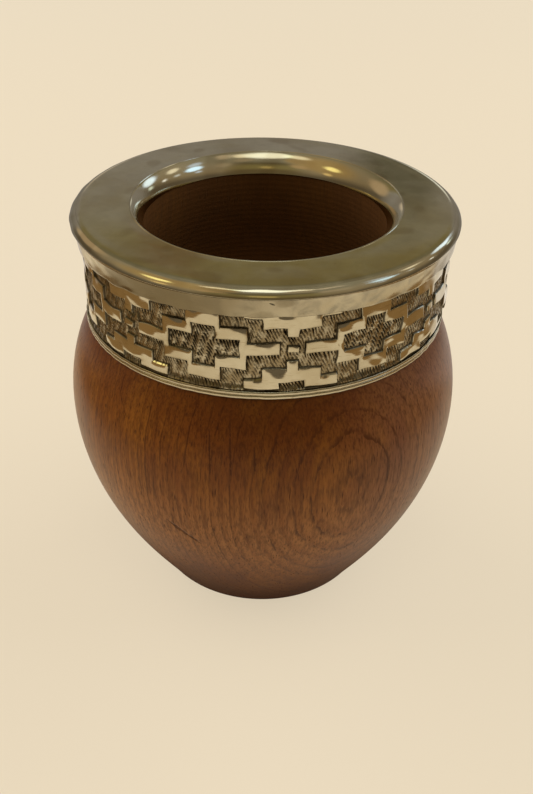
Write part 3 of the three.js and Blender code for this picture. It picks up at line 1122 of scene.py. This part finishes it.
def skirt_profile():
    """A strip that flares upwards, with its lower edge eased and its top turned in."""
    share = np.linspace(0, 1, SKIRT_POINTS)
    inside = SKIRT_BOTTOM_RADIUS + (SKIRT_TOP_RADIUS - SKIRT_BOTTOM_RADIUS) * share
    inside = inside + SKIRT_BULGE * np.sin(math.pi * share)
    height = SKIRT_BOTTOM + (SKIRT_TOP - SKIRT_BOTTOM) * share
    outer = np.stack([inside + SKIRT_SHEET, height], -1)
    lower_edge = [(outer[0, 0] - SKIRT_EASE, height[0])]
    outer[0, 1] += SKIRT_EASE
    top = SKIRT_TOP + SKIRT_TURN_IN
    turned_in = bend(outer[-1], SKIRT_LEAVE, SKIRT_ARRIVE, (SKIRT_END, top), count=5)[1:]
    inner = np.stack([inside, height], -1)[::-1]
    return np.concatenate([lower_edge, outer, turned_in, [(SKIRT_TOP_RADIUS, top)], inner])


def make_skirt(material):
    """The plain strip, with dents and a wavy lower edge."""
    rng = np.random.default_rng(SKIRT_SEED)
    profile = skirt_profile()

    def shape(radius, height, angle):
        free = smooth(SKIRT_TOP, SKIRT_TOP - SKIRT_FREE, height)
        dents = SKIRT_DENT * wobble(rng, angle, height, waves=30, finest=46, rise=900.0) * free
        edge = SKIRT_EDGE_WAVE * wobble(rng, angle, 0 * height, waves=18, finest=60, rise=1.0)
        edge = edge * smooth(SKIRT_BOTTOM + SKIRT_EDGE_REACH, SKIRT_BOTTOM, height)
        rise = rim_rise(radius, angle) * smooth(SKIRT_BOTTOM, SKIRT_TOP, height)
        return radius + dents + bulge(angle, height), height + edge + rise

    piece = turned("plain_skirt", profile, SKIRT_AROUND, material, "skirt_collar", shape)
    angle = around(SKIRT_AROUND)[None, :]
    patches = wobble(rng, angle, profile[:, 1][:, None], waves=24, finest=30, rise=500.0)
    # Painted reflection: the skirt's left and right are toned darker and browner
    turn = turn_from_front(angle)
    painted_reflection = sum(share * smooth(*start, turn) * smooth(*end, turn) for share, start, end in SIDE_PAINTED_REFLECTION)
    give(piece, "toned", np.maximum(SKIRT_TARNISH * smooth(*SKIRT_PATCHES, patches), painted_reflection))


def tarnish_patches(piece, rng, along, least, **waves):
    """Stores soft patches of tarnish on a ring of the rim."""
    patches = wobble(rng, around(RIM_AROUND)[None, :], along[:, None], **waves)
    give(piece, "toned", RIM_TARNISH * smooth(least, least + 1.0, patches))


def make_edge(material):
    """The rounded edge of the rim, which rolls on from the plate and turns under to the skirt."""
    rng = np.random.default_rng(EDGE_SEED)
    start = math.acos((EDGE_INSIDE - ROLL_START) / ROLL_RADIUS)
    roll = arc(ROLL_START, PLATE_TOP - ROLL_RADIUS, ROLL_RADIUS, start, UPRIGHT - ROLL_END, count=20)
    leave = (EDGE_LEAVE * math.cos(ROLL_END), -EDGE_LEAVE * math.sin(ROLL_END))
    under = bend(roll[-1], leave, (EDGE_ARRIVE, 0.0), (EDGE_UNDERSIDE, EDGE_BOTTOM), count=6)[1:]
    profile = np.concatenate([roll, under, [(EDGE_INSIDE, EDGE_BOTTOM)]])[::-1]

    def shape(radius, height, angle):
        free = smooth(EDGE_INSIDE, EDGE_INSIDE + EDGE_FIRM, radius)
        dents = RIM_UNEVEN * free * wobble(rng, angle, height, waves=14, finest=40, rise=300.0)
        return radius + dents + bulge(angle, height), height + rim_rise(radius, angle)

    piece = turned("rim_bead", profile, RIM_AROUND, material, "edge_wire", shape)
    tarnish_patches(piece, rng, profile[:, 1], least=0.9, waves=20, finest=24, rise=200.0)


def make_plate(material):
    """The flat ring on top, which begins to roll over at its outer edge."""
    rng = np.random.default_rng(PLATE_SEED)
    end = math.acos((PLATE_OUTSIDE - ROLL_START) / ROLL_RADIUS)
    profile = np.concatenate([
        [(PLATE_INSIDE, PLATE_BOTTOM), (PLATE_OUTSIDE, PLATE_BOTTOM)],
        arc(ROLL_START, PLATE_TOP - ROLL_RADIUS, ROLL_RADIUS, end, UPRIGHT, count=8),
        line((ROLL_START, PLATE_TOP), (PLATE_INSIDE + PLATE_EASE, PLATE_TOP), count=18)[1:],
        [(PLATE_INSIDE, PLATE_TOP - PLATE_EASE)],
    ])

    def shape(radius, height, angle):
        free = smooth(PLATE_INSIDE, PLATE_INSIDE + PLATE_FIRM, radius)
        free = free * smooth(ROLL_START, ROLL_START - PLATE_FIRM, radius) * (height > PLATE_TOP - HAIR)
        uneven = RIM_UNEVEN * free * wobble(rng, angle, radius, waves=16, finest=9, rise=260.0)
        moved = smooth(*BULGE_ON_PLATE, radius) * bulge(angle, height)
        moved = moved + smooth(*SHIFT_REACH, radius) * mouth_shift(angle)
        return radius + moved, height + uneven + rim_rise(radius, angle)

    piece = turned("rim_plate_top", profile, RIM_AROUND, material, "rim_plate", shape)
    tarnish_patches(piece, rng, profile[:, 0], least=1.0, waves=24, finest=20, rise=500.0)


def make_lip(material):
    """The lip, which leaves the plate over a small round and rolls down steeply into the mouth."""
    rng = np.random.default_rng(LIP_SEED)
    back_end = math.acos((LIP_OUTSIDE - LIP_CENTRE) / LIP_BACK_RADIUS)
    back = arc(LIP_CENTRE, LIP_HEIGHT, LIP_BACK_RADIUS, math.pi, back_end, count=20)
    mouth = (MOUTH_RADIUS, LIP_BOTTOM)
    middle = (LIP_OUTSIDE - LIP_ROUND * math.sin(LIP_OUTER_TURN), PLATE_TOP - LIP_ROUND)
    crest = arc(*middle, LIP_ROUND, UPRIGHT - LIP_OUTER_TURN, UPRIGHT + LIP_SLOPE, count=14)
    arrive = (MOUTH_PULL_UP * math.sin(MOUTH_SLOPE), MOUTH_PULL_UP * math.cos(MOUTH_SLOPE))
    leave = (-LIP_PULL * math.cos(LIP_SLOPE), -LIP_PULL * math.sin(LIP_SLOPE))
    roll = bend(crest[-1], leave, arrive, mouth, count=36)[1:]
    profile = np.concatenate([[(MOUTH_RADIUS + LIP_SHEET, LIP_BOTTOM)], back, crest, roll])
    front = (np.arange(len(profile)) > len(back))[:, None]

    def shape(radius, height, angle):
        free = front * smooth(LIP_OUTSIDE, LIP_OUTSIDE - LIP_FIRM, radius)
        uneven = LIP_UNEVEN * free * wobble(rng, angle, height, waves=12, finest=12, rise=200.0)
        outward = np.clip((radius - MOUTH_RADIUS) / (LIP_OUTSIDE - MOUTH_RADIUS), 0, 1)
        moved = front * outward * mouth_shift(angle)
        rise = rim_rise(radius, angle) * np.clip((height - LIP_BOTTOM) / (PLATE_TOP - LIP_BOTTOM), 0, 1)
        return radius + uneven + moved, height + rise

    piece = turned("rolled_lip", profile, RIM_AROUND, material, "mouth_lip", shape)
    tarnish_patches(piece, rng, profile[:, 1], least=1.0, waves=20, finest=16, rise=300.0)


def dress_glue():
    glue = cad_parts["glue_bed"]
    glue.data.materials.clear()
    glue.data.materials.append(glue_material())


# Stage


def mirrored_room(spot):
    """Where the floor ends for mirrored rays, from 0 to 1, and what they see there instead."""
    x, y, _ = split(spot)
    out = abs(x)
    aside = out.step(PALE_SIDE, PALE_SIDE + PALE_SIDE_FADE)
    ahead = y.step(-PALE_FRONT, -PALE_FRONT - PALE_FRONT_FADE)
    back = x.step(-HAZE_FADE, HAZE_FADE, PALE_BACK_LEFT, PALE_BACK_RIGHT)
    behind = (y - back).step(-HAZE_FADE, HAZE_FADE)
    behind = behind * out.step(PALE_BACK_SIDE - PALE_BACK_SIDE_FADE, PALE_BACK_SIDE + PALE_BACK_SIDE_FADE)
    haze = mix(x.step(-HAZE_FADE, HAZE_FADE), HAZE_LEFT, HAZE_RIGHT)
    haze = mix(y.step(HAZE_END - HAZE_FADE, HAZE_END + HAZE_FADE), haze, DUSK)
    tint = mix(behind, mix(ahead, TABLE_BROWN, ROOM_DIM), haze)
    return aside.larger(ahead).larger(behind), tint


def floor_material():
    """Pale and partly glowing, so that the background stays even and the cup's shadow shows."""
    material, tree = new_material("pale_floor")
    spot = position(tree)
    path = node(tree, "ShaderNodeLightPath")
    rays = ("Is Camera Ray", "Is Transmission Ray", "Is Glossy Ray")
    straight, through, glossy = (Value(path.outputs[ray]) for ray in rays)
    reach = result(tree, "ShaderNodeVectorMath", {0: spot}, "Value", operation="LENGTH")
    glowing = reach.step(*FLOOR_FAR, FLOOR_GLOW, 1.0)
    share = (straight.larger(through) * glowing).larger(glossy * FLOOR_GLOSS)
    lit = result(tree, "ShaderNodeBsdfDiffuse", {"Color": opaque(CREAM)})
    glow = result(tree, "ShaderNodeEmission", {"Color": opaque(CREAM), "Strength": 1.0})
    pale = result(tree, "ShaderNodeMixShader", {0: share, 1: lit, 2: glow})
    beyond, tint = mirrored_room(spot)
    room = result(tree, "ShaderNodeEmission", {"Color": tint, "Strength": 1.0})
    shader = result(tree, "ShaderNodeMixShader", {0: glossy * beyond, 1: pale, 2: room})
    node(tree, "ShaderNodeOutputMaterial", {"Surface": shader})
    return material


def make_floor():
    """A plain pale floor, which mirrored rays see only near the cup."""
    half = FLOOR_HALF
    corners = [(-half, -half, 0), (half, -half, 0), (half, half, 0), (-half, half, 0)]
    floor = add_mesh("floor", corners, [(0, 1, 2, 3)], floor_material())


def sky_ramp(up, stops):
    ramp = node(up.tree, "ShaderNodeValToRGB", {0: up})
    while len(ramp.color_ramp.elements) < len(stops):
        ramp.color_ramp.elements.new(0.5)
    for element, (spot, colour) in zip(ramp.color_ramp.elements, stops):
        element.position = spot
        element.color = opaque(colour)
    return Value(ramp.outputs[0])


def sky_patch(direction, turn, rise, inner, outer):
    """A soft round patch of sky, by degrees from the front towards the right and above the horizon."""
    turn, rise = math.radians(turn), math.radians(rise)
    aim = (math.sin(turn) * math.cos(rise), -math.cos(turn) * math.cos(rise), math.sin(rise))
    near = vectors("DOT_PRODUCT", direction, aim, "Value")
    return near.step(math.cos(math.radians(outer)), math.cos(math.radians(inner)))


def make_world():
    """A dim warm room with windows and lamps, in place of which the camera sees plain cream."""
    world = bpy.data.worlds.new("studio")
    bpy.context.scene.world = world
    tree = empty_tree(world)
    direction = result(tree, "ShaderNodeTexCoord", output="Generated")
    _, y, up = split(direction)
    facing = y / (LEVEL_GUARD - up * up).math("SQRT")
    colour = mix(facing.step(*BACK_FACING), sky_ramp(up, SKY_SIDE), sky_ramp(up, SKY_BACK))
    colour = mix(facing.step(*FRONT_FACING), colour, sky_ramp(up, SKY_FRONT))
    for *patch, tint in SKY_PATCHES:
        colour = mix(sky_patch(direction, *patch), colour, tint)
    seen = result(tree, "ShaderNodeLightPath", output="Is Camera Ray")
    colour = mix(seen, colour, CREAM)
    background = result(tree, "ShaderNodeBackground", {"Color": colour, "Strength": 1.0})
    node(tree, "ShaderNodeOutputWorld", {"Surface": background})


def make_light(name, spot, size, power, colour):
    data = bpy.data.lights.new(name, "AREA")
    data.shape = "RECTANGLE"
    data.size, data.size_y = size
    data.energy = power
    data.color = colour
    lamp = add(name, data)
    lamp.location = spot
    lamp.visible_glossy = False
    lamp.rotation_euler = (Vector(LAMP_AIM) - Vector(spot)).to_track_quat("-Z", "Y").to_euler()


def make_camera():
    data = bpy.data.cameras.new("camera")
    data.lens = CAMERA_LENS
    data.sensor_width = CAMERA_SENSOR
    data.clip_start = CAMERA_NEAR
    camera = add("camera", data)
    turn = Matrix.Rotation(CAMERA_YAW, 4, "Z") @ Matrix.Rotation(CAMERA_TILT, 4, "X")
    turn = turn @ Matrix.Rotation(CAMERA_ROLL, 4, "Z")
    camera.matrix_world = Matrix.Translation(CAMERA_PLACE) @ turn
    bpy.context.scene.camera = camera


make_camera()
make_floor()
make_world()
for settings in LAMPS:
    make_light(*settings)

satin = polished_material("satin_metal", rough=(0.09, 0.16), tarnish=0.6, stain_and_painted_light=GOLDEN, blotch=0.15)
bright = polished_material("bright_metal", rough=(0.07, 0.14), tarnish=0.5, stain_and_painted_light=GOLDEN, blotch=0.0)
# The skirt's metal: worn, with a painted darker reflection on its sides
worn = polished_material(
    "worn_metal_painted_sides", rough=(0.15, 0.26), tarnish=1.0, stain_and_painted_light=DULL, blotch=0.85, scratched=True)
ridged = polished_material("ridged_metal", rough=(0.16, 0.26), tarnish=0.85, stain_and_painted_light=SOOT, blotch=0.15)

make_wood(wood_material())
make_frieze(chiselled_material())
make_border(ridged)
make_skirt(worn)
make_edge(bright)
make_plate(satin)
make_lip(bright)
dress_glue()

bpy.context.scene.view_settings.view_transform = "Standard"
